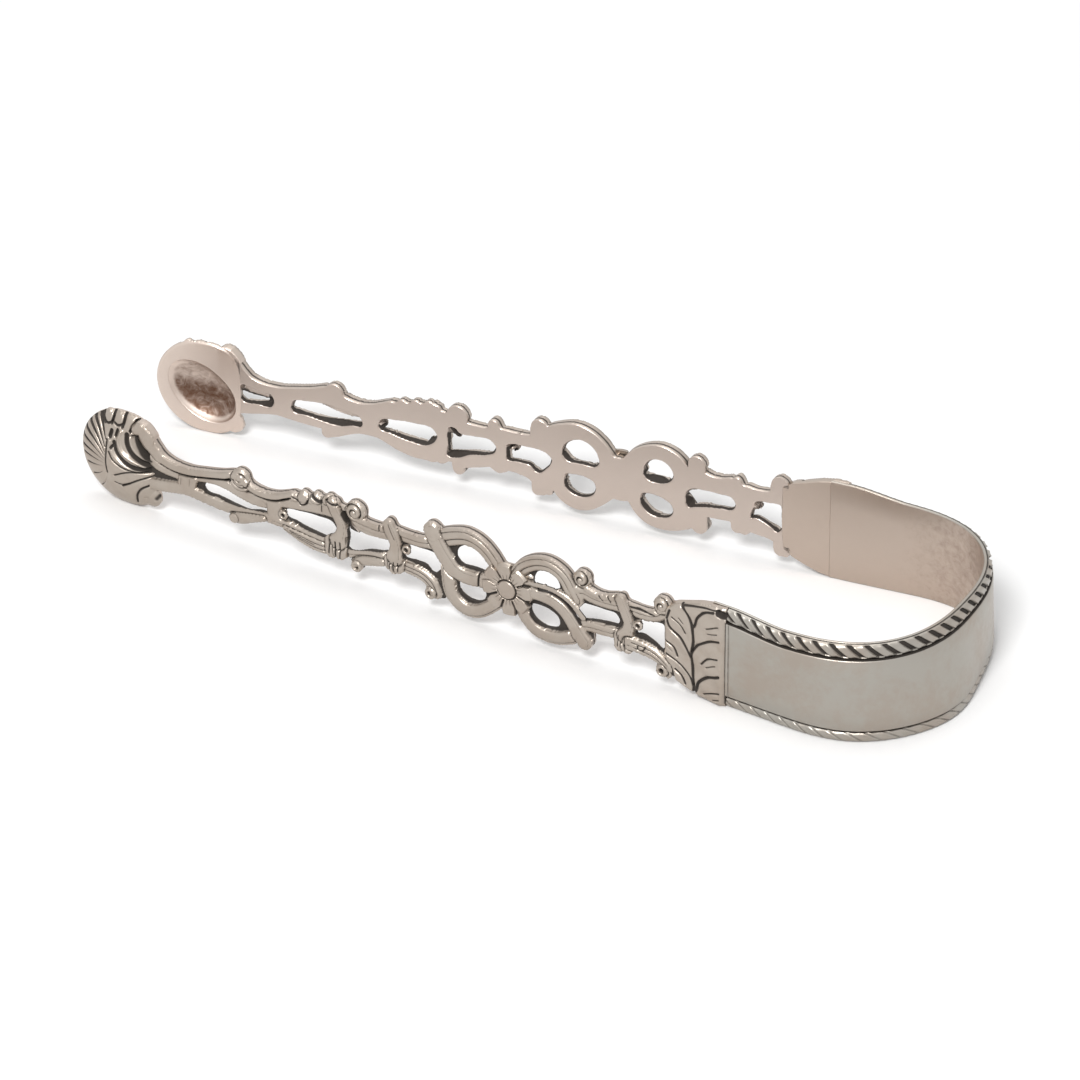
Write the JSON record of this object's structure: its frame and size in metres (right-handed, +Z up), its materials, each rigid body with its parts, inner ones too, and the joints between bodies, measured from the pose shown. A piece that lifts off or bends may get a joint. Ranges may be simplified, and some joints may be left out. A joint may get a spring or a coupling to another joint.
{
  "type": "sugar tongs",
  "caption": "Sugar tongs with a U-shaped spring bow, rope borders, openwork scroll arms with leaf, loops and flower, and hollow scallop shell grips that close on a sugar lump.",
  "frame": {"origin": "on the table, at the middle of the overall length and width", "axes": "+X along the length towards the bow, +Y across towards the far arm, +Z up, along the width of the strip"},
  "size_m": [0.1352, 0.041, 0.0158],
  "materials": {
    "bow_silver": "worn polish, fine scratches",
    "rope_silver": "worn polish, dark in the cuts",
    "cast_silver": "cast and worn, dark oxide in the recesses",
    "shell_silver": "cast and worn, brown tarnish in the hollow"
  },
  "bodies": {
    "bow": {"bow_spring": "bow_silver", "upper_rope_border": "rope_silver", "lower_rope_border": "rope_silver"},
    "near_arm": {"near_leaf_terminal": "cast_silver", "near_loop_arm": "cast_silver", "near_flower_boss": "cast_silver", "near_scroll_arm": "cast_silver", "near_shell_grip": "shell_silver"},
    "far_arm": {"far_leaf_terminal": "cast_silver", "far_loop_arm": "cast_silver", "far_flower_boss": "cast_silver", "far_scroll_arm": "cast_silver", "far_shell_grip": "shell_silver"}
  },
  "joints": [
    {"name": "near_squeeze", "type": "hinge", "parent": "bow", "child": "near_arm", "pos_m": [0.06216, -0.014, 0.00745], "axis": [0, 0, -1], "range_deg": [0, 4.25], "stiffness_Nm_per_rad": 4.6, "deforming": ["bow_spring", "upper_rope_border", "lower_rope_border"]},
    {"name": "far_squeeze", "type": "hinge", "parent": "bow", "child": "far_arm", "pos_m": [0.06216, 0.014, 0.00745], "axis": [0, 0, 1], "range_deg": [0, 4.25], "stiffness_Nm_per_rad": 4.6, "deforming": ["bow_spring", "upper_rope_border", "lower_rope_border"]}
  ],
  "couplings": [
    {"joint": "far_squeeze", "follows": "near_squeeze", "ratio": 1}
  ]
}
